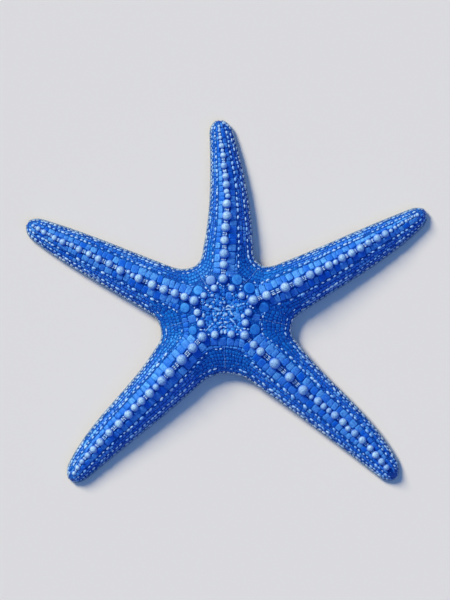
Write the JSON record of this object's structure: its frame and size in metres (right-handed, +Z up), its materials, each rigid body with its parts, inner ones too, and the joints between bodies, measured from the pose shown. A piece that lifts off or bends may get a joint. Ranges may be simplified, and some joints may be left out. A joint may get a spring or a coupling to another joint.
{
  "type": "starfish",
  "caption": "Blue starfish lying flat with its arms spread, with rows of pale bead-like tubercles on its back and grooves under its arms.",
  "frame": {"origin": "middle of the bounding box, on the floor that the underside rests on", "axes": "+Z up out of the back; +Y the way arm_1 points, in the middle of the upper side of the pose; +X to the right of it; arms numbered counter-clockwise seen from above"},
  "size_m": [0.2003, 0.1809, 0.0171],
  "materials": {
    "skin": "living skin over small plates, bright blue, satin with a wet sheen",
    "ossicle": "pale blue-white limy plates and tubercles under thin skin, smooth with a soft sheen",
    "eye_spot": "dark red pigment spot, moist"
  },
  "bodies": {
    "root": {"disc": "skin", "arm_1": "skin", "arm_2": "skin", "arm_3": "skin", "arm_4": "skin", "arm_5": "skin", "madreporite": "ossicle", "mouth_plate_1": "ossicle", "mouth_plate_2": "ossicle", "mouth_plate_3": "ossicle", "mouth_plate_4": "ossicle", "mouth_plate_5": "ossicle", "eye_spot_1": "eye_spot", "eye_spot_2": "eye_spot", "eye_spot_3": "eye_spot", "eye_spot_4": "eye_spot", "eye_spot_5": "eye_spot"}
  },
  "joints": []
}
